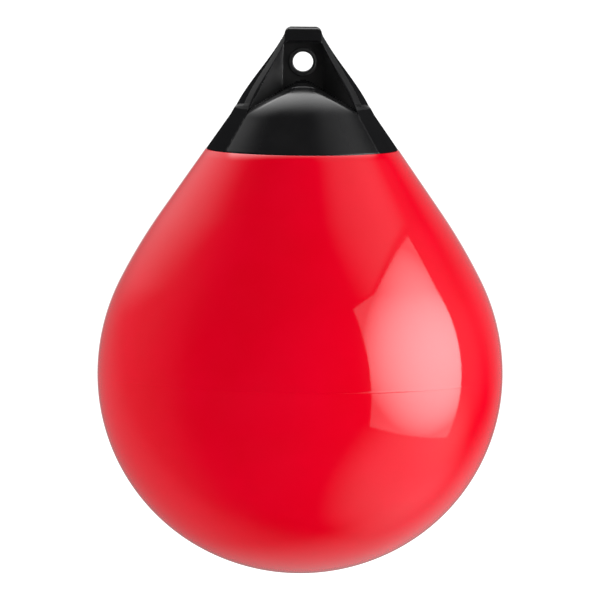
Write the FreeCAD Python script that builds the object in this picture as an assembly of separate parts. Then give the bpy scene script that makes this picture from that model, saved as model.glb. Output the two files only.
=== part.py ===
"""Inflatable mooring buoy: a hollow drop-shaped bladder with a solid moulded rope head and an air valve.

Millimetres, +Z up the buoy's axis. The origin is the centre of the rope eye, whose bore runs along Y.
Front and back (-Y and +Y) are the faces that a rope leaves by. Profiles are drawn in the XZ plane.
"""
import FreeCAD, Part
import math
import os

V = FreeCAD.Vector

# ---- rope eye and web -------------------------------------------------------------------------
EYE_RADIUS = 12.7
EYE_BOSS_RADIUS = 17.6
EYE_BOSS_WIDTH = 14.0
WEB_THICKNESS = 10.0

# ---- rope head: bar, fins, pockets, shoulder --------------------------------------------------
HEAD_TOP = 43.6              # height of the bar's top above the eye's centre
FRONT_HALF = 10.9            # half of the head's depth at that height, before the top edges are rounded
FIN_LEAN = 21.8              # degrees that the front and back faces lean from upright
BAR_HEIGHT = 16.6
BAR_HALF_LENGTH = 23.8
BAR_CORNER = 7.0             # rounding of the bar's two upper ends
BAR_ROUND = 4.5              # rounding along the bar's top edges
FLANK_TOP = 37.6             # height where the fins' flanks run into the bar's ends
FLANK_TOP_RADIUS = 22.6      # the flanks' distance from the axis there, to the hollow's floor
FLANK_EYE_RADIUS = 46.6      # the same at the eye's height
FLANK_BELLY = -33.0          # height where the flanks stand out most
FLANK_BELLY_RADIUS = 70.6
FLANK_FOOT = -57.5           # height of the ledge that the flanks end on
FLANK_FOOT_RADIUS = 85.2
SKIRT_KNEE = -67.0           # height where the steeper band below that ledge meets the skirt's cone
RIB = 0.9                    # how far the fins' edges stand out of their hollow sides
HOLLOW_HALF = 8.0            # half width of the hollow side at HOLLOW_LEVEL
HOLLOW_LEVEL = 20.4
HOLLOW_TAPER = 21.4          # degrees that each of the hollow's edges leans from upright
WEB_HALF = 22.6              # half width of the web just under the bar
WEB_TAPER = 7.5              # degrees that the web's side edges spread, going down
MOUTH_HALF = 22.0            # half width of the pocket's mouth just under the bar
MOUTH_TAPER = 28.6           # degrees that the mouth's side edges spread, going down
RIDGE_TOP = -23.9            # height of the shoulder's ridge
RIDGE_ROUND = 17.0
RIDGE_FALL = 29.0            # degrees that the shoulder falls away to each side
SHOULDER_ROLL = 100.0        # radius of the shoulder's roll down into the skirt
MARGIN = 1.0                 # how far a cutting shape runs past what it cuts

# ---- skirt and bladder ------------------------------------------------------------------------
SKIRT_EDGE = -110.0          # height of the skirt's lower edge
SKIRT_WALL = 9.0
SKIRT_SINK = 0.9             # how far the skirt's surface lies inside the bladder's, square to the cone
LAP_TOP = -84.0              # height of the recess that the bladder's crown fills
LAP_CLEARANCE = 0.2
EDGE_GAP = 0.3               # between the skirt's edge and the bladder's shoulder
BLADDER_WALL = 2.8
MAX_RADIUS = 255.3
EQUATOR = -393.7             # height of the widest place
SHOULDER_RADIUS = 265.0      # profile arc above the equator
SHOULDER_SWEEP = 26.8        # degrees that this arc turns
NECK_RADIUS = 717.0          # flatter profile arc above that one
NECK_ANGLE = 34.8            # degrees between the neck's straight cone and the axis
BELLY_RADIUS = 250.2         # profile arc below the equator
BELLY_SWEEP = 62.0           # degrees that it turns before the bottom's arc takes over
SEAM_HEIGHT = 0.5            # mould seam round the equator
SEAM_WIDTH = 2.6

# ---- air valve, in the back of the skirt ------------------------------------------------------
VALVE_HEIGHT = -88.0
VALVE_FLANGE_RADIUS = 13.0
VALVE_FLANGE = 3.0
VALVE_RECESS = 2.0
VALVE_TUBE_RADIUS = 9.0
VALVE_TUBE_BEYOND = 3.0      # how far the tube reaches past the bladder's wall
VALVE_BORE_RADIUS = 6.0
VALVE_CLEARANCE = 0.2
WASHER_RADIUS = 9.6
WASHER_THICKNESS = 1.2
PLUG_HEAD_RADIUS = 9.0
PLUG_HEAD = 3.2
PLUG_LENGTH = 12.0
PLUG_CLEARANCE = 0.1
PLUG_SLOT_WIDTH = 2.2
PLUG_SLOT_DEPTH = 1.8

ORIGIN = V(0, 0, 0)
UP = V(0, 0, 1)
BACK = V(0, 1, 0)


def sin(degrees):
    return math.sin(math.radians(degrees))


def cos(degrees):
    return math.cos(math.radians(degrees))


def tan(degrees):
    return math.tan(math.radians(degrees))


# ---- profiles and plain shapes ----------------------------------------------------------------
def on_arc(centre, radius, angle):
    """The point of a circle in the XZ plane at an angle above the +X direction."""
    return centre + V(radius * cos(angle), 0, radius * sin(angle))


def arc(centre, radius, start, end):
    """An edge along that circle, between two angles."""
    through = [on_arc(centre, radius, angle) for angle in (start, (start + end) / 2, end)]
    return Part.Arc(*through).toShape()


def run(*points):
    """Straight edges from point to point."""
    return [Part.makeLine(a, b) for a, b in zip(points, points[1:])]


def face_of(edges):
    return Part.Face(Part.Wire(Part.__sortEdges__(edges)))


def turned(edges):
    """The solid that a closed profile sweeps round the buoy's axis."""
    return face_of(edges).revolve(ORIGIN, UP, 360)


def disc(radius, height, start=0.0):
    """A cylinder on the Z axis that starts at height start."""
    return Part.makeCylinder(radius, height, V(0, 0, start))


def one_solid(shape):
    """The single solid that a boolean result holds, with its split faces joined."""
    return shape.removeSplitter().Solids[0]


# ---- the bladder's outline --------------------------------------------------------------------
SHOULDER_CENTRE = V(MAX_RADIUS - SHOULDER_RADIUS, 0, EQUATOR)
NECK_CENTRE = on_arc(SHOULDER_CENTRE, SHOULDER_RADIUS - NECK_RADIUS, SHOULDER_SWEEP)
BELLY_CENTRE = V(MAX_RADIUS - BELLY_RADIUS, 0, EQUATOR)
BOTTOM_RADIUS = BELLY_RADIUS + BELLY_CENTRE.x / cos(BELLY_SWEEP)
BOTTOM_CENTRE = V(0, 0, EQUATOR + BELLY_CENTRE.x * tan(BELLY_SWEEP))


def cone_radius(z, depth=0.0):
    """Radius of the neck's cone at a height, for a surface that lies depth inside the outer one."""
    start = on_arc(NECK_CENTRE, NECK_RADIUS, NECK_ANGLE)
    return start.x - (depth + (z - start.z) * sin(NECK_ANGLE)) / cos(NECK_ANGLE)


def skirt_radius(z, depth=0.0):
    """The same for a surface that lies depth inside the skirt's outer one."""
    return cone_radius(z, SKIRT_SINK + depth)


def drop_outline(depth, top):
    """Edges from the cone at height top down to the axis at the bottom, depth inside the outer surface."""
    neck_end = on_arc(NECK_CENTRE, NECK_RADIUS - depth, NECK_ANGLE)
    return [
        *run(V(cone_radius(top, depth), 0, top), neck_end),
        arc(NECK_CENTRE, NECK_RADIUS - depth, NECK_ANGLE, SHOULDER_SWEEP),
        arc(SHOULDER_CENTRE, SHOULDER_RADIUS - depth, SHOULDER_SWEEP, 0),
        arc(BELLY_CENTRE, BELLY_RADIUS - depth, 0, -BELLY_SWEEP),
        arc(BOTTOM_CENTRE, BOTTOM_RADIUS - depth, -BELLY_SWEEP, -90),
    ]


def drop_solid(depth, neck_depth, shoulder, crown):
    """A turned drop whose neck is stepped in from depth to neck_depth at height shoulder."""
    bottom = BOTTOM_CENTRE.z - BOTTOM_RADIUS + depth
    closing = run(
        V(cone_radius(shoulder, depth), 0, shoulder),
        V(cone_radius(shoulder, neck_depth), 0, shoulder),
        V(cone_radius(crown, neck_depth), 0, crown),
        V(0, 0, crown),
        V(0, 0, bottom),
    )
    return turned(drop_outline(depth, shoulder) + closing)


def seam_bead():
    """The thin raised seam that the mould's parting leaves round the equator."""
    inside = MAX_RADIUS - BLADDER_WALL / 2
    half = SEAM_WIDTH / 2
    flat = half / 2
    crest = MAX_RADIUS + SEAM_HEIGHT
    points = [
        V(inside, 0, EQUATOR - half),
        V(MAX_RADIUS, 0, EQUATOR - half),
        V(crest, 0, EQUATOR - flat),
        V(crest, 0, EQUATOR + flat),
        V(MAX_RADIUS, 0, EQUATOR + half),
        V(inside, 0, EQUATOR + half),
    ]
    return turned(run(*points, points[0]))


def bladder():
    """The hollow drop, its neck stepped in to lap under the skirt, with the valve's hole."""
    lap_depth = SKIRT_SINK + SKIRT_WALL + LAP_CLEARANCE
    shoulder = SKIRT_EDGE - EDGE_GAP
    crown = LAP_TOP - LAP_CLEARANCE
    outer = drop_solid(0, lap_depth, shoulder, crown)
    inner = drop_solid(BLADDER_WALL, lap_depth + BLADDER_WALL, shoulder - BLADDER_WALL, crown - BLADDER_WALL)
    hole = on_valve_axis(disc(VALVE_TUBE_RADIUS + VALVE_CLEARANCE, valve_reach(), -valve_reach()))
    return one_solid(outer.fuse(seam_bead()).cut(inner).cut(hole))


# ---- the rope head ----------------------------------------------------------------------------
def head_reach():
    """A half length and half depth that hold the whole head."""
    return skirt_radius(SKIRT_EDGE) + MARGIN


def front_half(z):
    """Half the head's depth at a height, out to its leaning front and back faces."""
    return FRONT_HALF + (HEAD_TOP - z) * tan(FIN_LEAN)


def prism_along_x(edges):
    """A profile drawn with the depth as its X, run through the whole head from side to side."""
    reach = head_reach()
    prism = face_of(edges).extrude(BACK * (2 * reach))
    prism.translate(V(0, -reach, 0))
    prism.rotate(ORIGIN, UP, 90)
    return prism


def wedge_prism():
    """Everything between the leaning front and back faces, with the bar's rounded top edges."""
    shift = BAR_ROUND / cos(FIN_LEAN) - BAR_ROUND * tan(FIN_LEAN)
    centre = V(FRONT_HALF - shift, 0, HEAD_TOP - BAR_ROUND)
    mirrored = V(-centre.x, 0, centre.z)
    foot = front_half(SKIRT_EDGE)
    edges = [arc(centre, BAR_ROUND, FIN_LEAN, 90), arc(mirrored, BAR_ROUND, 90, 180 - FIN_LEAN)]
    edges += run(on_arc(centre, BAR_ROUND, 90), on_arc(mirrored, BAR_ROUND, 90))
    edges += run(on_arc(centre, BAR_ROUND, FIN_LEAN), V(foot, 0, SKIRT_EDGE), V(-foot, 0, SKIRT_EDGE))
    edges += run(V(-foot, 0, SKIRT_EDGE), on_arc(mirrored, BAR_ROUND, 180 - FIN_LEAN))
    return prism_along_x(edges)


def hollow_prism():
    """The tapered strip between the ribs, where each fin's side is hollow."""
    tip = HOLLOW_LEVEL + HOLLOW_HALF / tan(HOLLOW_TAPER)
    half = (tip - FLANK_FOOT) * tan(HOLLOW_TAPER)
    left = V(-half, 0, FLANK_FOOT)
    right = V(half, 0, FLANK_FOOT)
    return prism_along_x(run(left, right, V(0, 0, tip), left))


def flank_solid(rib):
    """The turned body that gives the fins' flanks their curve, rib outside the hollow's floor."""
    top = V(FLANK_TOP_RADIUS + rib, 0, FLANK_TOP)
    foot = V(FLANK_FOOT_RADIUS + rib, 0, FLANK_FOOT)
    flank = Part.BSplineCurve()
    eye_level = V(FLANK_EYE_RADIUS + rib, 0, 0)
    belly = V(FLANK_BELLY_RADIUS + rib, 0, FLANK_BELLY)
    flank.interpolate([top, eye_level, belly, foot])
    return turned([flank.toShape()] + run(foot, V(0, 0, FLANK_FOOT), V(0, 0, FLANK_TOP), top))


def bar_solid():
    """The crossbar, its upper ends rounded, before the leaning faces trim it."""
    reach = head_reach()
    corner = V(BAR_HALF_LENGTH - BAR_CORNER, -reach, HEAD_TOP - BAR_CORNER)
    mirrored = V(-corner.x, -reach, corner.z)
    under = HEAD_TOP - BAR_HEIGHT
    edges = [arc(corner, BAR_CORNER, 0, 90), arc(mirrored, BAR_CORNER, 90, 180)]
    edges += run(on_arc(corner, BAR_CORNER, 90), on_arc(mirrored, BAR_CORNER, 90))
    edges += run(
        on_arc(corner, BAR_CORNER, 0),
        V(BAR_HALF_LENGTH, -reach, under),
        V(-BAR_HALF_LENGTH, -reach, under),
        on_arc(mirrored, BAR_CORNER, 180),
    )
    return face_of(edges).extrude(BACK * (2 * reach))


def foot_solid():
    """The turned body under the fins: the skirt's cone and the steeper band up to their ledge."""
    points = [
        V(0, 0, SKIRT_EDGE),
        V(skirt_radius(SKIRT_EDGE), 0, SKIRT_EDGE),
        V(skirt_radius(SKIRT_KNEE), 0, SKIRT_KNEE),
        V(FLANK_FOOT_RADIUS + RIB, 0, FLANK_FOOT),
        V(0, 0, FLANK_FOOT),
    ]
    return turned(run(*points, points[0]))


def shoulder_solid():
    """The turned skirt whose cone rolls over into a flat top at the ridge's height.

    On a slimmer skirt the roll reaches the axis before it is level, and the top is a blunt point instead.
    """
    meeting = RIDGE_TOP - SHOULDER_ROLL * (1 - sin(NECK_ANGLE))
    centre = V(skirt_radius(meeting) - SHOULDER_ROLL * cos(NECK_ANGLE), 0, RIDGE_TOP - SHOULDER_ROLL)
    past_axis = max(-centre.x, 0)
    roll_end = 90 - math.degrees(math.asin(past_axis / SHOULDER_ROLL))
    rolled = on_arc(centre, SHOULDER_ROLL, roll_end)
    crown = V(0, 0, rolled.z)
    edges = [arc(centre, SHOULDER_ROLL, NECK_ANGLE, roll_end)]
    if not past_axis:
        edges += run(rolled, crown)
    edges += run(
        crown,
        V(0, 0, SKIRT_EDGE),
        V(skirt_radius(SKIRT_EDGE), 0, SKIRT_EDGE),
        on_arc(centre, SHOULDER_ROLL, NECK_ANGLE),
    )
    return turned(edges)


def ridge_prism():
    """Everything under the shoulder's roof: a rounded ridge along Y that falls away to each side."""
    reach = head_reach()
    centre = V(0, -reach, RIDGE_TOP - RIDGE_ROUND)
    right = on_arc(centre, RIDGE_ROUND, 90 - RIDGE_FALL)
    left = on_arc(centre, RIDGE_ROUND, 90 + RIDGE_FALL)
    eaves = right.z - (reach - right.x) * tan(RIDGE_FALL)
    low = min(eaves, SKIRT_EDGE) - MARGIN
    edges = [arc(centre, RIDGE_ROUND, 90 - RIDGE_FALL, 90 + RIDGE_FALL)]
    edges += run(left, V(-reach, -reach, eaves), V(-reach, -reach, low), V(reach, -reach, low))
    edges += run(V(reach, -reach, low), V(reach, -reach, eaves), right)
    return face_of(edges).extrude(BACK * (2 * reach))


def pocket(side):
    """The recess in front of the web (side -1) or behind it (side 1), open outwards and downwards."""
    web = WEB_THICKNESS / 2
    top = HEAD_TOP - BAR_HEIGHT

    def section(z):
        half = WEB_HALF + (top - z) * tan(WEB_TAPER)
        mouth = MOUTH_HALF + (top - z) * tan(MOUTH_TAPER)
        flare = (mouth - half) / (front_half(z) - web)
        out = front_half(z) + MARGIN
        wide = mouth + MARGIN * flare
        corners = [V(-half, side * web, z), V(half, side * web, z)]
        corners += [V(wide, side * out, z), V(-wide, side * out, z)]
        return Part.makePolygon(corners + [corners[0]])

    return Part.makeLoft([section(top), section(SKIRT_EDGE)], True, True)


def bladder_recess():
    """The room inside the skirt that the bladder's neck and crown fill."""
    points = [
        V(0, 0, SKIRT_EDGE),
        V(skirt_radius(SKIRT_EDGE, SKIRT_WALL), 0, SKIRT_EDGE),
        V(skirt_radius(LAP_TOP, SKIRT_WALL), 0, LAP_TOP),
        V(0, 0, LAP_TOP),
    ]
    return turned(run(*points, points[0]))


def eye_cylinder(radius, width):
    return Part.makeCylinder(radius, width, V(0, -width / 2, 0), BACK)


def rope_head():
    """The solid head: web, bar and two fins on a skirt that covers the bladder's neck."""
    roof = ridge_prism()
    hollow = flank_solid(RIB).cut(flank_solid(0)).common(hollow_prism())
    frame = flank_solid(RIB).cut(hollow).fuse(foot_solid()).fuse(bar_solid()).common(wedge_prism())
    for side in (-1, 1):
        frame = frame.cut(pocket(side).cut(roof))
    head = frame.fuse(shoulder_solid().common(roof))
    head = head.fuse(eye_cylinder(EYE_BOSS_RADIUS, EYE_BOSS_WIDTH))
    head = head.cut(eye_cylinder(EYE_RADIUS, EYE_BOSS_WIDTH + 2 * MARGIN)).cut(bladder_recess())
    flange_room = disc(VALVE_FLANGE_RADIUS + VALVE_CLEARANCE, VALVE_FLANGE + VALVE_RECESS, -VALVE_RECESS)
    hole = on_valve_axis(disc(VALVE_TUBE_RADIUS + VALVE_CLEARANCE, valve_reach(), -valve_reach()))
    return one_solid(head.cut(on_valve_axis(flange_room)).cut(hole))


# ---- the air valve ----------------------------------------------------------------------------
def valve_reach():
    """How deep the valve's tube goes below the skirt's surface."""
    return SKIRT_WALL + LAP_CLEARANCE + BLADDER_WALL + VALVE_TUBE_BEYOND


def on_valve_axis(shape):
    """Puts a shape made on the Z axis at the valve's place, its +Z square out of the skirt."""
    outwards = V(0, cos(NECK_ANGLE), sin(NECK_ANGLE))
    place = FreeCAD.Placement(V(0, skirt_radius(VALVE_HEIGHT), VALVE_HEIGHT), FreeCAD.Rotation(UP, outwards))
    placed = shape.copy()
    placed.Placement = place
    return placed


def valve_body():
    """The flanged bushing seated in the skirt, with a well in its flange for the washer."""
    flange = disc(VALVE_FLANGE_RADIUS, VALVE_FLANGE, -VALVE_RECESS)
    tube = disc(VALVE_TUBE_RADIUS, valve_reach() - VALVE_RECESS, -valve_reach())
    bore = disc(VALVE_BORE_RADIUS, valve_reach() + VALVE_FLANGE, -valve_reach())
    well = disc(WASHER_RADIUS + VALVE_CLEARANCE, WASHER_THICKNESS, washer_seat())
    return on_valve_axis(one_solid(flange.fuse(tube).cut(bore).cut(well)))


def washer_seat():
    """Height of the washer's underside above the skirt's surface."""
    return VALVE_FLANGE - VALVE_RECESS - WASHER_THICKNESS


def valve_washer():
    ring = disc(WASHER_RADIUS, WASHER_THICKNESS, washer_seat())
    hole = disc(VALVE_BORE_RADIUS, WASHER_THICKNESS, washer_seat())
    return on_valve_axis(one_solid(ring.cut(hole)))


def valve_plug():
    """The screw plug: a slotted head on the washer and a shank down the bushing's bore."""
    seat = washer_seat() + WASHER_THICKNESS
    head = disc(PLUG_HEAD_RADIUS, PLUG_HEAD, seat)
    shank = disc(VALVE_BORE_RADIUS - PLUG_CLEARANCE, PLUG_LENGTH, seat - PLUG_LENGTH)
    slot = Part.makeBox(2 * PLUG_HEAD_RADIUS, PLUG_SLOT_WIDTH, PLUG_SLOT_DEPTH)
    slot.translate(V(-PLUG_HEAD_RADIUS, -PLUG_SLOT_WIDTH / 2, seat + PLUG_HEAD - PLUG_SLOT_DEPTH))
    return on_valve_axis(one_solid(head.fuse(shank).cut(slot)))


NODES = {
    "bladder": bladder,
    "rope_head": rope_head,
    "valve_body": valve_body,
    "valve_washer": valve_washer,
    "valve_plug": valve_plug,
}

os.makedirs("parts", exist_ok=True)
for name, make in NODES.items():
    shape = make()
    shape.exportStep(f"parts/{name}.step")
    print(name, shape.ShapeType, "valid", shape.isValid(), "cm3", round(shape.Volume / 1000, 1))
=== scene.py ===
"""Looks of the inflatable buoy: glossy red bladder, black moulded rope head, soft studio light.

The shapes are worked out in millimetres, as in the CAD source, and scaled to metres when a mesh is made.
"""
import math

import bpy
import numpy as np
from mathutils import Matrix, Vector


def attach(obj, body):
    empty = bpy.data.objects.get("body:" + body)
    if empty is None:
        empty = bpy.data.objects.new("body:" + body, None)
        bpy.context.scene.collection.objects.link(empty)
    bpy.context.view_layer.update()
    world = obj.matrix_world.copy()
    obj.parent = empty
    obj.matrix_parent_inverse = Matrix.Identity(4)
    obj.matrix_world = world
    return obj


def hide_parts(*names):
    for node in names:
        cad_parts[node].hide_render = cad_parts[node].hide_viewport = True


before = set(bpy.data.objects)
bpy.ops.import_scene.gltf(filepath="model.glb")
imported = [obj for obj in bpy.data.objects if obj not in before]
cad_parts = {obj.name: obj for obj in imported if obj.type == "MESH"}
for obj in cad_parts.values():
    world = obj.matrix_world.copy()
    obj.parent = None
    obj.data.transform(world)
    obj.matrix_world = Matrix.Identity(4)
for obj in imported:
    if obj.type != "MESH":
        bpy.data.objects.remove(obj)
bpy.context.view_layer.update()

MM = 0.001

# ---- camera -----------------------------------------------------------------------------------
PICTURE_WIDTH = 0.7552       # metres across the picture at the buoy's axis
CAMERA_DISTANCE = 11.0
CAMERA_ELEVATION = 5.0       # degrees
CAMERA_ROLL = 0.55           # degrees that the buoy's top leans right
SENSOR = 36.0
AIM = Vector((-0.0009, 0.0, -0.3007))

# ---- rope head, millimetres -------------------------------------------------------------------
EYE_RADIUS = 12.7
BOSS_RADIUS = 17.6
BOSS_HALF = 7.8
WEB_HALF = 5.0
HEAD_TOP = 43.6
BAR_UNDER = 27.0             # height of the bar's underside
BAR_HALF_LENGTH = 23.3
BAR_CORNER = 8.5
BAR_NOSE = 4.5
FRONT_HALF = 10.9            # half of the head's depth at its top
FIN_LEAN = 21.8              # degrees that the front faces lean from upright
FLANK = ((37.6, 22.4), (0.0, 46.0), (-33.0, 69.9), (-57.5, 84.3))   # height, distance from the axis
FIN_FOOT = -57.5
SKIRT_KNEE = -67.0
POCKET_HALF = 24.7           # half width of the web just under the bar
POCKET_TAPER = 1.0           # degrees that the pocket's wall spreads on the way down
SWEEP = 0.3                  # rounding between the web and the pocket's wall
MOUTH_HALF = 22.0            # half width of the pocket's mouth just under the bar
MOUTH_TAPER = 28.6           # degrees that the mouth's edge spreads
FLANK_END = 45.0             # height above which the flanks keep their width
RIB = 0.9                    # how far the fins' ribs stand out of their hollow sides
RIB_FADE = (20.0, 36.0)      # heights between which the ribs fade out towards the bar
HOLLOW_HALF = 6.5            # half width of that hollow at its top
HOLLOW_TOP = 24.3
HOLLOW_TAPER = 21.4
HOLLOW_LIP = -57.5           # height of its lower lip at the side
LIP_RISE = 0.12              # how much higher the lip is for each millimetre away from the side
LIP_SLOPE = 2.0              # how steeply that lip climbs to the hollow's floor
RIDGE_TOP = -23.9
RIDGE_ROUND = 17.0
RIDGE_FALL = 29.0            # degrees that the gable falls to both sides
SHOULDER_ROLL = 100.0        # radius with which the skirt rolls over at its top
SKIRT_EDGE = -110.0
SKIRT_WALL = 9.0
SKIRT_SINK = 0.9             # how far the skirt lies inside the bladder's surface
LAP_TOP = -84.0
PANEL_STEP = 0.3             # half of the step between the side panels and the skirt's front

# roundings and fillets of the moulded head, millimetres
SHARP = 0.3                  # edges that the mould leaves crisp
FIN_EDGE = 0.4               # front edges of the fins
BAR_FILLET = 1.0             # where the bar runs into the fins
BAR_UNDER_ROUND = 3.0
BAR_FOOT = 24.0              # height where the bar's own form ends inside the fins
FIN_HEAD = 36.5              # height where the fins' own form ends inside the bar
SKIRT_FILLET = 0.2           # where the skirt meets the fins' feet
FILLET_GROWTH = 0.4          # how much larger it is at the top of its rise
FILLET_RISE = (-62.0, -52.0)
HOLLOW_ROUND = 0.4
POCKET_TOP_ROUND = 6.0
POCKET_SINK = 1.5            # how far the pockets are cut below the gable
MOUTH_ROUND = 2.0            # edge of the pocket's mouth under the bar; below it the mouth is sharp
RIDGE_EASE = 5.0             # width over which the gable's edge is eased
BOSS_ROUND = 2.4
BOSS_FILLET = 0.8
BORE_ROUND = 0.9
SKIRT_ROUND = 0.6
SEAT_ROUND = 0.5
HEAD_MESH = 1.47             # mesh size of the head
LEVEL = 0.975                # upward part of a normal from which a face counts as level
CREASE = 14.0                # degrees off the smooth normal from which an edge stays crisp

# ---- bladder, millimetres ---------------------------------------------------------------------
MAX_RADIUS = 255.3
EQUATOR = -393.7
SHOULDER_RADIUS = 265.0
SHOULDER_SWEEP = 26.8
NECK_RADIUS = 717.0
NECK_ANGLE = 34.8
BELLY_RADIUS = 250.2
BELLY_SWEEP = 62.0
SEAM_HEIGHT = 0.4
SEAM_WIDTH = 1.2
SEAM_LEAST = 0.2             # its height where it is lowest, over the full one
SEAM_SHARPNESS = 12          # how quickly it fades from its highest places
SEAM_ARC = 1.2               # degrees above and below the seam with rows of faces close together
SEAM_PLACE = -78.0           # angle round the axis where the seam stands highest, there and opposite
LAP_CLEARANCE = 0.2
EDGE_GAP = 0.3
NECK_LIP = 0.25              # rounding of the step in the neck that the skirt's edge stands on
LIP_POINTS = ((1.0, 0.0), (0.5, 0.12), (0.1, 0.5))   # inward and down on that rounding, over its size
BLADDER_AROUND = 320         # columns of faces round the bladder

# ---- air valve, millimetres -------------------------------------------------------------------
VALVE_HEIGHT = -88.0
VALVE_SEAT_RADIUS = 13.2
VALVE_RECESS = 2.0

# ---- colours and finishes ---------------------------------------------------------------------
RED_DEEP = (0.74, 0.0, 0.012)
RED_BRIGHT = (0.78, 0.0, 0.016)
BLACK_DEEP = (0.007, 0.007, 0.0075)
BLACK_PALE = (0.010, 0.010, 0.0105)
# painted highlight: the lighter grey painted on the rounded rim of the eye's boss
BLACK_RIM_HIGHLIGHT = (0.030, 0.030, 0.031)
PLASTIC_DEEP = (0.02, 0.02, 0.021)
PLASTIC_PALE = (0.035, 0.035, 0.036)
RUBBER_DEEP = (0.03, 0.03, 0.03)
RUBBER_PALE = (0.05, 0.05, 0.05)

# the head's finishes, in the order of its material slots: name, roughness from and to, grain, specular level
HEAD_FINISHES = (
    ("head_gloss", 0.17, 0.23, 0.3, 0.25),
    ("head_satin", 0.34, 0.42, 0.5, 0.0),
    ("head_rib", 0.40, 0.48, 0.5, 0.15),
    ("head_pocket", 0.34, 0.42, 0.5, 0.9),
)
GLOSS, PANEL, RIB_FACE, POCKET = range(4)
SKIN_DEPTH = 2.0             # millimetres under the flanks down to which a face counts as an outer one
EDGE_MARGIN = 0.8            # millimetres beside an edge that keep the gloss
LIP_MARGIN = (1.0, 0.4)      # millimetres below and above the hollow's lip that keep it too

# ---- studio -----------------------------------------------------------------------------------
# Directions are an azimuth and an elevation in degrees. Azimuth 0 is the camera's side, and 90 is the right.
WALL = 72.0                  # azimuth square to the right wall and its softbox
WALL_TOP = 0.98              # height of the wall's top over its distance
WALL_EDGE = (-0.01, 0.03)    # how softly the ceiling begins above it

# soft panels that glossy surfaces mirror: azimuth, elevation, cosines where it starts and is full, strength
PANELS = (
    (-150.0, 47.0, 0.74, 1.00, 0.93),
    (-145.0, 0.0, 0.00, 0.80, 0.19),
    (84.0, -40.0, 0.72, 1.00, 0.90),
    (155.0, -42.0, 0.80, 1.00, 0.32),
    (150.0, 10.0, 0.90, 1.00, 0.14),
    (-166.0, -31.0, 0.56, 0.80, 0.08),
    (84.0, 8.0, 0.60, 1.00, 0.42),
    (180.0, 0.0, 0.975, 0.997, 0.5),
)
OVERHEAD = (-175.0, 58.0, 0.70, 1.0, 6.0)
OVERHEAD_FROM = (0.60, 0.70)   # upward part of the directions between which it begins
DARK_BEHIND = (180.0, 32.0, 0.88, 0.95, 1.0)
DARK_FRONT = (-10.0, -5.0, 0.30, 1.00, 0.42)   # the unlit side of the studio, where the camera stands
CEILING = (85.0, 55.0, 0.86, 1.00, 0.62)

FILL = 0.93                  # the world's plain level on rough surfaces
SOFTBOX_DISTANCE = 3.0
SOFTBOX_RADIANCE = 7.9
SOFTBOX_SIZE = (1.30, 1.485)   # over its distance
SOFTBOX_RISE = 8.5           # degrees
SOFTBOX_FADE = ((-0.10, 1.15), (0.03, 1.45))   # sideways and up: where it is brightest, and how fast it fades
SOFTBOX_EDGE = 0.15          # the least that it fades to
SOFTBOX_POINT = (0.14, -0.19, -0.36)
KEY_BEHIND = 0.3             # metres from the softbox, so that it never hides it
KEY_POWER = 62.0
KEY_SIZE = 1.8
LEFT_PLACE = (-115.0, 20.0)
LEFT_SIZE = 2.0
LEFT_POWER = 25.0

FLOOR_DROP = 0.11            # metres from the buoy's bottom down to the floor
FLOOR_RADIUS = 60.0
FLOOR_BOUNCE = 0.14          # what the paper adds to the light that it throws up
FLOOR_LIFT = 0.40            # brings the unshaded paper up to white
FLOOR_PAPER = 0.86
FLOOR_SIDES = 96


def sin(degrees):
    return math.sin(math.radians(degrees))


def cos(degrees):
    return math.cos(math.radians(degrees))


def tan(degrees):
    return math.tan(math.radians(degrees))


def link(obj):
    bpy.context.scene.collection.objects.link(obj)
    return obj


def new_mesh(name, points, faces, normals=None):
    """A smooth object from points in millimetres, with a normal for each face corner where given."""
    mesh = bpy.data.meshes.new(name)
    mesh.from_pydata((points * MM).tolist(), [], faces)
    mesh.validate()
    mesh.shade_smooth()
    if normals is not None:
        mesh.normals_split_custom_set(normals.reshape(-1, 3).tolist())
    return link(bpy.data.objects.new(name, mesh))


# ---- camera -----------------------------------------------------------------------------------
def add_camera():
    """A long lens in front of the buoy, a little above it and slightly rolled."""
    data = bpy.data.cameras.new("camera")
    data.sensor_width = SENSOR
    data.lens = SENSOR * CAMERA_DISTANCE / PICTURE_WIDTH
    data.clip_end = 100
    camera = link(bpy.data.objects.new("camera", data))
    back = Vector((0, -cos(CAMERA_ELEVATION), sin(CAMERA_ELEVATION)))
    camera.location = AIM + back * CAMERA_DISTANCE
    turn = (-back).to_track_quat("-Z", "Y").to_matrix() @ Matrix.Rotation(math.radians(CAMERA_ROLL), 3, "Z")
    camera.rotation_euler = turn.to_euler()
    bpy.context.scene.camera = camera


# ---- the bladder's outline --------------------------------------------------------------------
def on_arc(centre, radius, angle):
    """Point at an angle on a circle, as radius and height."""
    return np.array(centre) + radius * np.array([cos(angle), sin(angle)])


SHOULDER_CENTRE = np.array([MAX_RADIUS - SHOULDER_RADIUS, EQUATOR])
NECK_CENTRE = on_arc(SHOULDER_CENTRE, SHOULDER_RADIUS - NECK_RADIUS, SHOULDER_SWEEP)
BELLY_CENTRE = np.array([MAX_RADIUS - BELLY_RADIUS, EQUATOR])
BOTTOM_RADIUS = BELLY_RADIUS + BELLY_CENTRE[0] / cos(BELLY_SWEEP)
BOTTOM_CENTRE = np.array([0.0, EQUATOR + BELLY_CENTRE[0] * tan(BELLY_SWEEP)])
NECK_END = on_arc(NECK_CENTRE, NECK_RADIUS, NECK_ANGLE)


def cone_radius(z, depth=0.0):
    """Radius of the neck's cone at a height, for a surface that lies depth inside the outer one."""
    return NECK_END[0] - (depth + (z - NECK_END[1]) * sin(NECK_ANGLE)) / cos(NECK_ANGLE)


def skirt_radius(z, depth=0.0):
    """The same for a surface that lies depth inside the skirt's outer one."""
    return cone_radius(z, SKIRT_SINK + depth)


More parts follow.
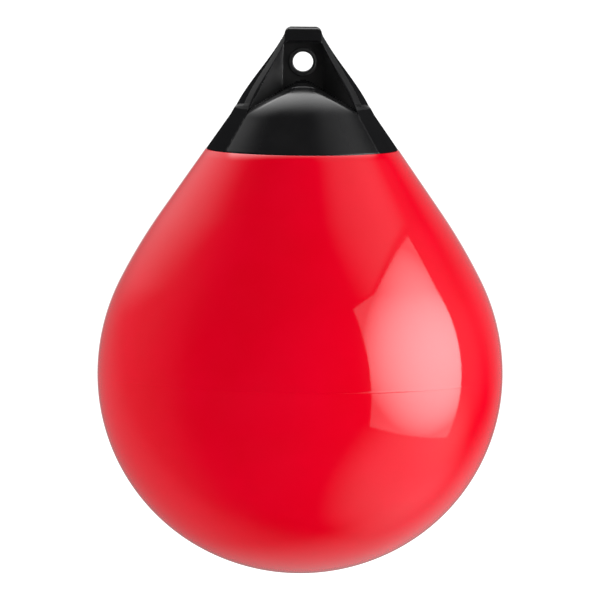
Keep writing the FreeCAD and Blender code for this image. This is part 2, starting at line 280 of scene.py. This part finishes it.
def bladder_profile():
    """Radius and height from the crown's centre, under the skirt, down to the bottom's centre."""
    crown = LAP_TOP - LAP_CLEARANCE
    lap = SKIRT_SINK + SKIRT_WALL + LAP_CLEARANCE
    shoulder = SKIRT_EDGE - EDGE_GAP
    rows = [(r, crown) for r in np.linspace(0, cone_radius(crown, lap), 6)]
    rows += [(cone_radius(z, lap), z) for z in np.linspace(crown - 1, shoulder + 0.5, 6)]
    rows.append((cone_radius(shoulder, lap) + 0.5, shoulder))
    edge = cone_radius(shoulder)
    rows += [(edge - inward * NECK_LIP, shoulder - down * NECK_LIP) for inward, down in LIP_POINTS]
    rows += [(cone_radius(z), z) for z in np.linspace(shoulder - 1.2 * NECK_LIP, NECK_END[1], 10)[:-1]]
    arcs = (
        (NECK_CENTRE, NECK_RADIUS, NECK_ANGLE, SHOULDER_SWEEP, 40),
        (SHOULDER_CENTRE, SHOULDER_RADIUS, SHOULDER_SWEEP, SEAM_ARC, 44),
        (SHOULDER_CENTRE, SHOULDER_RADIUS, SEAM_ARC, 0, 22),
        (BELLY_CENTRE, BELLY_RADIUS, 0, -SEAM_ARC, 22),
        (BELLY_CENTRE, BELLY_RADIUS, -SEAM_ARC, -BELLY_SWEEP, 60),
        (BOTTOM_CENTRE, BOTTOM_RADIUS, -BELLY_SWEEP, -90, 60),
    )
    for centre, radius, start, end, count in arcs:
        rows += [tuple(on_arc(centre, radius, a)) for a in np.linspace(start, end, count, endpoint=False)]
    return np.array(rows)


def make_bladder():
    """The drop-shaped skin, turned, with the thin raised mould seam round its widest place."""
    profile = bladder_profile()[1:]
    count, around = len(profile), BLADDER_AROUND
    turn = np.linspace(0, 2 * math.pi, around, endpoint=False)
    r = profile[:, 0][:, None] * np.ones(around)
    z = profile[:, 1][:, None] * np.ones(around)
    uneven = SEAM_LEAST + (1 - SEAM_LEAST) * np.cos(turn - math.radians(SEAM_PLACE)) ** SEAM_SHARPNESS
    r = r + SEAM_HEIGHT * uneven * np.exp(-((z - EQUATOR) / (SEAM_WIDTH / 2)) ** 2) * (r > MAX_RADIUS - 1)
    points = np.stack([r * np.cos(turn), r * np.sin(turn), z], -1).reshape(-1, 3)
    i = np.arange(count - 1)[:, None] * around
    j = np.arange(around)[None, :]
    k = (j + 1) % around
    quads = np.stack([i + j, i + around + j, i + around + k, i + k], -1).reshape(-1, 4).tolist()
    top, bottom = len(points), len(points) + 1
    points = np.vstack([points, [0, 0, profile[0, 1]], [0, 0, BOTTOM_CENTRE[1] - BOTTOM_RADIUS]])
    last = (count - 1) * around
    caps = [[top, a, (a + 1) % around] for a in range(around)]
    caps += [[bottom, last + (a + 1) % around, last + a] for a in range(around)]
    return new_mesh("bladder_skin", points, quads + caps)


# ---- signed distance blends -------------------------------------------------------------------
def meet(a, b, r):
    """Intersection of two solids with a rounded edge."""
    u = np.maximum(a + r, 0)
    v = np.maximum(b + r, 0)
    return np.minimum(np.maximum(a, b), -r) + np.hypot(u, v)


def join(a, b, r):
    """Union of two solids with a fillet between them."""
    return -meet(-a, -b, r)


def soft(a, b, k):
    """Intersection whose edge is eased over a width k, also where the two surfaces run side by side."""
    h = np.clip(0.5 + 0.5 * (a - b) / k, 0, 1)
    return b + (a - b) * h + k * h * (1 - h)


def eased(x, start, end):
    """0 before start, 1 after end, smooth between."""
    t = np.clip((x - start) / (end - start), 0, 1)
    return t * t * (3 - 2 * t)


# ---- the rope head's field --------------------------------------------------------------------
FLANK_CURVE = np.polyfit([p[0] for p in FLANK], [p[1] for p in FLANK], 3)


def flank_radius(z):
    """The flanks' distance from the axis: fins, then the steeper band under them, then the skirt's cone."""
    rib = RIB * (1 - eased(z, *RIB_FADE))
    fins = np.polyval(FLANK_CURVE, np.clip(z, FIN_FOOT, FLANK_END)) + rib
    knee = skirt_radius(SKIRT_KNEE) + PANEL_STEP
    ledge = FLANK[-1][1] + RIB
    band = knee + (ledge - knee) * (z - SKIRT_KNEE) / (FIN_FOOT - SKIRT_KNEE)
    skirt = skirt_radius(z) + PANEL_STEP
    return np.where(z > FIN_FOOT, fins, np.where(z > SKIRT_KNEE, band, skirt))


def front_half(z):
    """Half the head's depth at a height, out to its leaning front faces."""
    return FRONT_HALF + (HEAD_TOP - z) * tan(FIN_LEAN)


def side_hollow(ay, z, depth=0.0):
    """Inside of the shallow hollow in each fin's side, at a depth below the ribs."""
    sides = (ay - HOLLOW_HALF - (HOLLOW_TOP - z) * tan(HOLLOW_TAPER)) * cos(HOLLOW_TAPER)
    lip = HOLLOW_LIP + LIP_RISE * ay + LIP_SLOPE * np.clip(depth, 0, RIB)
    return meet(sides, (lip - z) / math.hypot(1, LIP_SLOPE), HOLLOW_ROUND)


def head_field(x, y, z):
    """Signed distance to the head's surface, in millimetres and negative inside."""
    ax, ay = np.abs(x), np.abs(y)
    rho = np.hypot(x, y)
    slope = cos(NECK_ANGLE)

    # bar and fins: turned flanks and rounded bar ends between two leaning front faces
    wedge = (ay - front_half(z)) * cos(FIN_LEAN)
    bar = meet(ax - BAR_HALF_LENGTH, z - HEAD_TOP, BAR_CORNER)
    bar = meet(bar, BAR_FOOT - z, BAR_UNDER_ROUND)
    bar = meet(bar, meet(wedge, z - HEAD_TOP, BAR_NOSE), SHARP)
    radius = flank_radius(z)
    flank = meet((rho - radius) * slope, z - FIN_HEAD, BAR_FILLET)
    hollow = np.maximum(side_hollow(ay, z, (radius - rho) * slope), (radius - RIB - rho) * slope)
    flank = meet(flank, -hollow, SHARP)
    fins = meet(flank, wedge, FIN_EDGE)
    head = join(fins, bar, BAR_FILLET)

    # pockets in front of the web and behind it
    drop = BAR_UNDER - z
    half = POCKET_HALF + drop * tan(POCKET_TAPER)
    mouth = MOUTH_HALF + drop * tan(MOUTH_TAPER)
    flare = (mouth - half) / (front_half(z) - WEB_HALF)
    side = (ax - half - (ay - WEB_HALF) * flare) / np.sqrt(1 + flare * flare)
    pocket = meet(side, WEB_HALF - ay, SWEEP)
    pocket = meet(pocket, -drop, POCKET_TOP_ROUND)
    pocket = np.maximum(pocket, -(gable(ax, z) + POCKET_SINK))
    head = meet(head, -pocket, MOUTH_ROUND * eased(z, BAR_UNDER - 5, BAR_UNDER + 1))

    # the skirt, rolled over at the top, under the gable
    head = join(head, shoulder(rho, z, ax), SKIRT_FILLET + FILLET_GROWTH * eased(z, *FILLET_RISE))

    # eye
    reach = np.hypot(x, z)
    boss = meet(reach - BOSS_RADIUS, ay - BOSS_HALF, BOSS_ROUND)
    head = join(head, boss, BOSS_FILLET)
    head = meet(head, EYE_RADIUS - reach, BORE_ROUND)

    # skirt's lower edge and the room for the bladder's neck
    head = meet(head, SKIRT_EDGE - z, SKIRT_ROUND)
    recess = np.maximum((rho - skirt_radius(z, SKIRT_WALL)) * slope, z - LAP_TOP)
    head = meet(head, -recess, SKIRT_ROUND)

    # the valve's seat in the back
    across, along = valve_place(x, y, z)
    seat = np.maximum(across - VALVE_SEAT_RADIUS, -VALVE_RECESS - along)
    return meet(head, -seat, SEAT_ROUND)


def gable(ax, z):
    """Distance above the rounded gable that the pockets' floor follows."""
    up = z - (RIDGE_TOP - RIDGE_ROUND)
    turn = np.arctan2(ax, up)
    plane = ax * sin(RIDGE_FALL) + up * cos(RIDGE_FALL)
    return np.where(turn < math.radians(RIDGE_FALL), np.hypot(ax, up), plane) - RIDGE_ROUND


def shoulder(rho, z, ax):
    """The skirt: a cone that rolls over into a flat top, cut by the gable."""
    cone = (rho - skirt_radius(z) + PANEL_STEP) * cos(NECK_ANGLE)
    meeting = RIDGE_TOP - SHOULDER_ROLL * (1 - sin(NECK_ANGLE))
    centre_r = skirt_radius(meeting) - PANEL_STEP - SHOULDER_ROLL * cos(NECK_ANGLE)
    centre_z = RIDGE_TOP - SHOULDER_ROLL
    dr = rho - centre_r
    dz = z - centre_z
    angle = np.arctan2(dz, dr)
    roll = np.hypot(dr, dz) - SHOULDER_ROLL
    turned = np.where(angle > math.radians(NECK_ANGLE), roll, cone)
    turned = np.where(dr < 0, z - RIDGE_TOP, turned)
    return soft(turned, gable(ax, z), RIDGE_EASE)


def valve_place(x, y, z):
    """Distance from the valve's axis, and height along it above the skirt's surface."""
    dy = y - skirt_radius(VALVE_HEIGHT)
    dz = z - VALVE_HEIGHT
    along = dy * cos(NECK_ANGLE) + dz * sin(NECK_ANGLE)
    up = -dy * sin(NECK_ANGLE) + dz * cos(NECK_ANGLE)
    return np.hypot(x, up), along


# ---- a mesh from a field ----------------------------------------------------------------------
def gradient(field, p, h):
    """Unit normals of a field at points."""
    steps = np.eye(3) * h
    g = np.stack([field(*(p + s).T) - field(*(p - s).T) for s in steps], -1)
    return g / np.maximum(np.linalg.norm(g, axis=1, keepdims=True), 1e-9)


def sample(field, axes, slab=12):
    """The field at every point of a grid, slab by slab to spare memory."""
    value = np.empty([len(a) for a in axes], np.float32)
    for start in range(0, len(axes[0]), slab):
        part = slice(start, start + slab)
        value[part] = field(*np.meshgrid(axes[0][part], axes[1], axes[2], indexing="ij"))
    return value


def crossings(field, axes, value, axis):
    """Where grid edges along one axis cross the surface: points, normals, the cells round each, and sense."""
    inside = value < 0
    near = [slice(None)] * 3
    far = [slice(None)] * 3
    near[axis] = slice(None, -1)
    far[axis] = slice(1, None)
    cut = np.argwhere(inside[tuple(near)] != inside[tuple(far)])
    other = cut.copy()
    other[:, axis] += 1
    a = np.stack([axes[k][cut[:, k]] for k in range(3)], -1)
    b = np.stack([axes[k][other[:, k]] for k in range(3)], -1)
    fa = value[tuple(cut.T)].astype(float)
    fb = value[tuple(other.T)].astype(float)
    for _ in range(3):
        t = (fa / (fa - fb))[:, None]
        p = a + (b - a) * np.clip(t, 0.02, 0.98)
        fp = field(*p.T)
        same = ((fp < 0) == (fa < 0))[:, None]
        a, fa = np.where(same, p, a), np.where(same[:, 0], fp, fa)
        b, fb = np.where(same, b, p), np.where(same[:, 0], fb, fp)
    stride = np.array([value.shape[1] * value.shape[2], value.shape[2], 1])
    u, v = stride[(axis + 1) % 3], stride[(axis + 2) % 3]
    base = cut @ stride
    ring = np.stack([base - u - v, base - v, base, base - u], -1)
    return p, gradient(field, p, 0.05), ring, ~inside[tuple(cut.T)]


def cell_points(p, n, cell, count, step, pull=0.08):
    """One point in each cell, as near as it can be to the planes of the cell's crossings.

    The pull holds it at the crossings' middle where those planes don't fix it.
    """
    def total(v):
        return np.bincount(cell, v, count)

    number = total(np.ones(len(cell)))
    middle = np.stack([total(p[:, k]) for k in range(3)], -1) / number[:, None]
    d = np.einsum("ij,ij->i", n, p - middle[cell])
    lhs = np.empty((count, 3, 3))
    rhs = np.empty((count, 3))
    for i in range(3):
        rhs[:, i] = total(n[:, i] * d)
        for j in range(3):
            lhs[:, i, j] = total(n[:, i] * n[:, j])
    lhs += np.eye(3) * pull
    shift = np.linalg.solve(lhs, rhs[..., None])[..., 0]
    return middle + np.clip(shift, -step, step)


def corner_normals(field, points, quads, inward=0.35):
    """A normal for each face corner: the smooth one, or the face's own where that differs by a crease."""
    smooth = gradient(field, points, 0.2)[quads]
    corner = points[quads]
    corner = corner + inward * (corner.mean(1, keepdims=True) - corner)
    own = gradient(field, corner.reshape(-1, 3), 0.1).reshape(corner.shape)
    crease = np.sum(own * smooth, -1, keepdims=True) < cos(CREASE)
    return np.where(crease, own, smooth)


def contour(field, low, high, step):
    """Dual contouring of the field's zero level: points, quads and normals."""
    axes = [np.arange(a, b + step, step) for a, b in zip(low, high)]
    value = sample(field, axes)
    found = [crossings(field, axes, value, axis) for axis in range(3)]
    p, n, ring, flip = (np.concatenate(rows) for rows in zip(*found))
    cells, which = np.unique(ring, return_inverse=True)
    which = which.reshape(ring.shape)
    points = cell_points(np.repeat(p, 4, 0), np.repeat(n, 4, 0), which.ravel(), len(cells), step)
    quads = np.where(flip[:, None], which[:, ::-1], which)
    return points, quads, corner_normals(field, points, quads)


def finishes(centres, normals):
    """The finish of each face of the head, from its centre and its normal."""
    x, y, z = centres.T
    ay = np.abs(y)
    outer = (np.hypot(x, y) > flank_radius(z) - SKIN_DEPTH) & (z > SKIRT_EDGE + EDGE_MARGIN)
    above_lip = z - HOLLOW_LIP - LIP_RISE * ay
    lip = (above_lip > -LIP_MARGIN[0]) & (above_lip < LIP_SLOPE * RIB + LIP_MARGIN[1])
    off_front = ay < front_half(z) - EDGE_MARGIN
    panel = outer & np.where(z > FIN_FOOT, side_hollow(ay, z) < 0, off_front) & ~lip
    fin = (z > FIN_FOOT) & (z < FLANK[0][0]) & (ay < front_half(z) - FIN_EDGE)
    rib = outer & fin & ~panel & ~lip
    under_bar = (z < BAR_UNDER + 0.5) & (gable(np.abs(x), z) > 1.0)
    pocket = ~outer & off_front & under_bar
    level = (normals[:, 2] > LEVEL) & (z > RIDGE_TOP - 6) & ~pocket & ~rib
    return np.select([rib, pocket, panel | level], [RIB_FACE, POCKET, PANEL], GLOSS)


def make_head(step):
    """The moulded head, as a mesh of its field."""
    reach = skirt_radius(SKIRT_EDGE) + 4 * step
    low = (-reach, -reach, SKIRT_EDGE - 3 * step)
    high = (reach, reach, HEAD_TOP + 3 * step)
    points, quads, normals = contour(head_field, low, high, step)
    head = new_mesh("head_moulding", points, quads.tolist(), normals)
    finish = finishes(points[quads].mean(1), normals.mean(1))
    head.data.polygons.foreach_set("material_index", finish.astype(np.int32))
    return head


# ---- materials --------------------------------------------------------------------------------
class Nodes:
    """A short way to build a node tree."""

    def __init__(self, tree):
        self.tree = tree

    def add(self, kind, settings=None, **inputs):
        node = self.tree.nodes.new(kind)
        for key, value in (settings or {}).items():
            setattr(node, key, value)
        for key, value in inputs.items():
            self.feed(node, key.replace("_", " "), value)
        return node

    def feed(self, node, name, value):
        socket = node.inputs[int(name)] if name.isdigit() else node.inputs[name]
        if isinstance(value, bpy.types.NodeSocket):
            self.tree.links.new(value, socket)
        else:
            socket.default_value = value

    def maths(self, operation, *values):
        node = self.tree.nodes.new("ShaderNodeMath")
        node.operation = operation
        for index, value in enumerate(values):
            self.feed(node, str(index), value)
        return node.outputs[0]

    def dot(self, vector, direction):
        node = self.tree.nodes.new("ShaderNodeVectorMath")
        node.operation = "DOT_PRODUCT"
        self.feed(node, "0", vector)
        self.feed(node, "1", direction)
        return node.outputs["Value"]

    def ramp(self, value, start, end, low=0.0, high=1.0):
        """Smooth step from low to high between start and end."""
        node = self.add("ShaderNodeMapRange", {"interpolation_type": "SMOOTHSTEP"}, Value=value)
        for name, number in (("From Min", start), ("From Max", end), ("To Min", low), ("To Max", high)):
            node.inputs[name].default_value = number
        return node.outputs["Result"]

    def noise(self, vector, scale, detail, rough):
        node = self.add("ShaderNodeTexNoise", None, Vector=vector, Scale=scale, Detail=detail)
        self.feed(node, "Roughness", rough)
        return node.outputs["Fac"]

    def mix(self, factor, first, second):
        """Blend of two colours, which are the mix node's inputs 6 and 7 and its output 2."""
        node = self.add("ShaderNodeMix", {"data_type": "RGBA"})
        self.tree.links.new(factor, node.inputs["Factor"])
        for socket, value in ((node.inputs[6], first), (node.inputs[7], second)):
            if isinstance(value, bpy.types.NodeSocket):
                self.tree.links.new(value, socket)
            else:
                socket.default_value = (*value, 1)
        return node.outputs[2]


def new_material(name, **fixed):
    material = bpy.data.materials.new(name)
    material.use_nodes = True
    shader = material.node_tree.nodes["Principled BSDF"]
    for key, value in fixed.items():
        shader.inputs[key.replace("_", " ")].default_value = value
    nodes = Nodes(material.node_tree)
    place = nodes.add("ShaderNodeTexCoord").outputs["Object"]
    return material, nodes, shader, place


def bump(nodes, shader, height, distance, strength):
    node = nodes.add("ShaderNodeBump", None, Height=height, Distance=distance, Strength=strength)
    nodes.feed(shader, "Normal", node.outputs["Normal"])


def bladder_vinyl():
    """Glossy red vinyl with a slight haze and a faint orange peel."""
    material, nodes, shader, place = new_material("bladder_vinyl", IOR=1.5)
    cloud = nodes.noise(place, scale=9.0, detail=3.0, rough=0.55)
    tone = nodes.mix(nodes.ramp(cloud, 0.3, 0.7), RED_DEEP, RED_BRIGHT)
    nodes.feed(shader, "Base Color", tone)
    haze = nodes.noise(place, scale=26.0, detail=3.0, rough=0.6)
    nodes.feed(shader, "Roughness", nodes.ramp(haze, 0.25, 0.75, low=0.045, high=0.075))
    peel = nodes.noise(place, scale=420.0, detail=2.0, rough=0.5)
    bump(nodes, shader, peel, distance=0.00003, strength=0.25)
    return material


def rubbed_rim(nodes, place):
    """How far a lighter grey is painted on the rim of the eye's boss, unevenly: a painted highlight on its
    rounding.
    """
    across = nodes.dot(place, (1, 0, 0))
    height = nodes.dot(place, (0, 0, 1))
    flat = nodes.add("ShaderNodeCombineXYZ", None, X=across, Y=height).outputs[0]
    reach = nodes.maths("SQRT", nodes.dot(flat, flat))
    inner = nodes.ramp(reach, (BOSS_RADIUS - 2.8) * MM, (BOSS_RADIUS - 1.8) * MM)
    outer = nodes.ramp(reach, (BOSS_RADIUS - 0.4) * MM, (BOSS_RADIUS + 0.4) * MM, low=1.0, high=0.0)
    patchy = nodes.ramp(nodes.noise(place, scale=260.0, detail=3.0, rough=0.6), 0.25, 0.6, low=0.35)
    return nodes.maths("MULTIPLY", nodes.maths("MULTIPLY", inner, outer), patchy)


def head_vinyl(name, low, high, relief, specular):
    """Black vinyl with a fine grain, between two roughnesses."""
    material, nodes, shader, place = new_material(name, IOR=1.5, Specular_IOR_Level=specular)
    cloud = nodes.noise(place, scale=30.0, detail=3.0, rough=0.55)
    black = nodes.mix(cloud, BLACK_DEEP, BLACK_PALE)
    # the rim of the eye's boss is painted lighter grey, a painted highlight on its rounding
    nodes.feed(shader, "Base Color", nodes.mix(rubbed_rim(nodes, place), black, BLACK_RIM_HIGHLIGHT))
    nodes.feed(shader, "Roughness", nodes.ramp(cloud, 0.3, 0.7, low, high))
    grain = nodes.noise(place, scale=900.0, detail=2.0, rough=0.6)
    bump(nodes, shader, grain, distance=0.00004, strength=relief)
    return material


def valve_plastic():
    """Hard black plastic of the valve's body and plug."""
    material, nodes, shader, place = new_material("valve_plastic", IOR=1.5)
    cloud = nodes.noise(place, scale=120.0, detail=3.0, rough=0.55)
    nodes.feed(shader, "Base Color", nodes.mix(cloud, PLASTIC_DEEP, PLASTIC_PALE))
    nodes.feed(shader, "Roughness", nodes.ramp(cloud, 0.3, 0.7, low=0.3, high=0.42))
    grain = nodes.noise(place, scale=1500.0, detail=2.0, rough=0.6)
    bump(nodes, shader, grain, distance=0.00004, strength=0.4)
    return material


def washer_rubber():
    """Dull rubber of the sealing washer."""
    material, nodes, shader, place = new_material("washer_rubber", IOR=1.5)
    cloud = nodes.noise(place, scale=200.0, detail=3.0, rough=0.6)
    nodes.feed(shader, "Base Color", nodes.mix(cloud, RUBBER_DEEP, RUBBER_PALE))
    nodes.feed(shader, "Roughness", nodes.ramp(cloud, 0.3, 0.7, low=0.6, high=0.75))
    grain = nodes.noise(place, scale=2000.0, detail=2.0, rough=0.6)
    bump(nodes, shader, grain, distance=0.00005, strength=0.5)
    return material


# ---- studio -----------------------------------------------------------------------------------
def towards(azimuth, elevation=0.0):
    """Unit direction; azimuth 0 points at the camera's side and 90 to the right."""
    return (sin(azimuth) * cos(elevation), -cos(azimuth) * cos(elevation), sin(elevation))


def make_world():
    """White to the camera, an even fill on rough surfaces, and the studio's panels in glossy ones."""
    world = bpy.data.worlds.new("studio")
    bpy.context.scene.world = world
    world.use_nodes = True
    nodes = Nodes(world.node_tree)
    background = world.node_tree.nodes["Background"]
    way = nodes.add("ShaderNodeTexCoord").outputs["Generated"]
    path = nodes.add("ShaderNodeLightPath").outputs

    def lobe(azimuth, elevation, start, full, strength):
        return nodes.ramp(nodes.dot(way, towards(azimuth, elevation)), start, full, 0.0, strength)

    glossy = lobe(*CEILING)
    above = nodes.maths("SUBTRACT", nodes.dot(way, (0, 0, 1)),
                        nodes.maths("MULTIPLY", nodes.dot(way, towards(WALL)), WALL_TOP))
    glossy = nodes.maths("MULTIPLY", glossy, nodes.ramp(above, *WALL_EDGE))
    high = nodes.ramp(nodes.dot(way, (0, 0, 1)), *OVERHEAD_FROM)
    overhead = nodes.maths("MULTIPLY", lobe(*OVERHEAD), high)
    glossy = nodes.maths("ADD", glossy, overhead)
    for panel in PANELS:
        glossy = nodes.maths("ADD", glossy, lobe(*panel))
    glossy = nodes.maths("MULTIPLY", glossy, nodes.maths("SUBTRACT", 1.0, lobe(*DARK_BEHIND)))
    level = nodes.maths("MULTIPLY", path["Is Glossy Ray"], glossy)
    seen = nodes.maths("MAXIMUM", path["Is Camera Ray"], path["Is Transmission Ray"])
    rest = nodes.maths("SUBTRACT", 1.0, nodes.maths("MAXIMUM", seen, path["Is Glossy Ray"]))
    fill = nodes.maths("MULTIPLY", nodes.maths("SUBTRACT", 1.0, lobe(*DARK_FRONT)), FILL)
    level = nodes.maths("ADD", level, nodes.maths("ADD", seen, nodes.maths("MULTIPLY", rest, fill)))
    nodes.feed(background, "Strength", level)
    background.inputs["Color"].default_value = (1, 1, 1, 1)


def area(name, place, aim, width, height, power, glossy=True, diffuse=True):
    """An area lamp that the camera never sees, for glossy surfaces, rough ones or both."""
    data = bpy.data.lights.new(name, "AREA")
    data.shape = "RECTANGLE"
    data.size = width
    data.size_y = height
    data.energy = power
    lamp = link(bpy.data.objects.new(name, data))
    lamp.location = place
    lamp.rotation_euler = (Vector(aim) - Vector(place)).to_track_quat("-Z", "Y").to_euler()
    lamp.visible_glossy = glossy
    lamp.visible_diffuse = diffuse
    lamp.visible_camera = False
    return lamp


def soften(lamp, out):
    """Lets the softbox's cloth glow most near its middle and fade towards its edges."""
    lamp.data.use_nodes = True
    nodes = Nodes(lamp.data.node_tree)
    spot = nodes.add("ShaderNodeNewGeometry").outputs["Position"]
    side = out.cross(Vector((0, 0, 1))).normalized()
    up = side.cross(out)
    level = 1.0
    for axis, (centre, fall) in zip((side, up), SOFTBOX_FADE):
        start = lamp.location.dot(axis) + centre * SOFTBOX_DISTANCE
        away = nodes.maths("SUBTRACT", nodes.dot(spot, axis), start)
        away = nodes.maths("MULTIPLY", away, 1 / SOFTBOX_DISTANCE)
        loss = nodes.maths("MULTIPLY", nodes.maths("MULTIPLY", away, away), fall)
        level = nodes.maths("SUBTRACT", level, loss)
    level = nodes.maths("MAXIMUM", level, SOFTBOX_EDGE)
    nodes.feed(lamp.data.node_tree.nodes["Emission"], "Strength", level)


def add_lamps():
    """The mirrored softbox, the key that lights rough surfaces from the same side, and a fill on the left."""
    out = Vector(towards(WALL, SOFTBOX_RISE))
    place = Vector(SOFTBOX_POINT) + out * SOFTBOX_DISTANCE
    width, height = (side * SOFTBOX_DISTANCE for side in SOFTBOX_SIZE)
    power = SOFTBOX_RADIANCE * math.pi * width * height
    softbox = area("softbox", place, place - out, width, height, power, diffuse=False)
    soften(softbox, out)
    aim = Vector(SOFTBOX_POINT)
    area("key", place + out * KEY_BEHIND, aim, KEY_SIZE, KEY_SIZE, KEY_POWER, glossy=False)
    left = aim + SOFTBOX_DISTANCE * Vector(towards(*LEFT_PLACE))
    area("left_fill", left, aim, LEFT_SIZE, LEFT_SIZE, LEFT_POWER, glossy=False)


def make_floor():
    """A wide pale paper floor that keeps the buoy's soft shadow."""
    top = (BOTTOM_CENTRE[1] - BOTTOM_RADIUS) * MM - FLOOR_DROP
    turn = np.linspace(0, 2 * math.pi, FLOOR_SIDES, endpoint=False)
    rim = np.stack([FLOOR_RADIUS * np.cos(turn), FLOOR_RADIUS * np.sin(turn), np.full(FLOOR_SIDES, top)], -1)
    mesh = bpy.data.meshes.new("floor")
    mesh.from_pydata(rim.tolist(), [], [list(range(FLOOR_SIDES))])
    floor = link(bpy.data.objects.new("floor", mesh))
    floor.visible_glossy = False
    material = bpy.data.materials.new("floor_paper")
    material.use_nodes = True
    nodes = Nodes(material.node_tree)
    material.node_tree.nodes.remove(material.node_tree.nodes["Principled BSDF"])
    white = (FLOOR_PAPER, FLOOR_PAPER, FLOOR_PAPER, 1)
    paper = nodes.add("ShaderNodeBsdfDiffuse", None, Color=white).outputs[0]
    path = nodes.add("ShaderNodeLightPath").outputs
    seen = nodes.maths("MAXIMUM", path["Is Camera Ray"],
                       nodes.maths("MAXIMUM", path["Is Glossy Ray"], path["Is Transmission Ray"]))
    lift = nodes.maths("MULTIPLY_ADD", seen, FLOOR_LIFT - FLOOR_BOUNCE, FLOOR_BOUNCE)
    glow = nodes.add("ShaderNodeEmission", None, Strength=lift).outputs[0]
    both = material.node_tree.nodes.new("ShaderNodeAddShader")
    nodes.feed(both, "0", paper)
    nodes.feed(both, "1", glow)
    nodes.feed(material.node_tree.nodes["Material Output"], "Surface", both.outputs[0])
    mesh.materials.append(material)


# ---- build ------------------------------------------------------------------------------------
add_camera()
bpy.context.scene.view_settings.view_transform = "Standard"

red, plastic, rubber = bladder_vinyl(), valve_plastic(), washer_rubber()

skin = make_bladder()
skin.data.materials.append(red)
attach(skin, "root")
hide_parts("bladder")

moulding = make_head(HEAD_MESH)
for finish in HEAD_FINISHES:
    moulding.data.materials.append(head_vinyl(*finish))
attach(moulding, "root")
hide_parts("rope_head")

for name, material in (("valve_body", plastic), ("valve_plug", plastic), ("valve_washer", rubber)):
    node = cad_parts[name]
    node.data.materials.clear()
    node.data.materials.append(material)

make_world()
add_lamps()
make_floor()
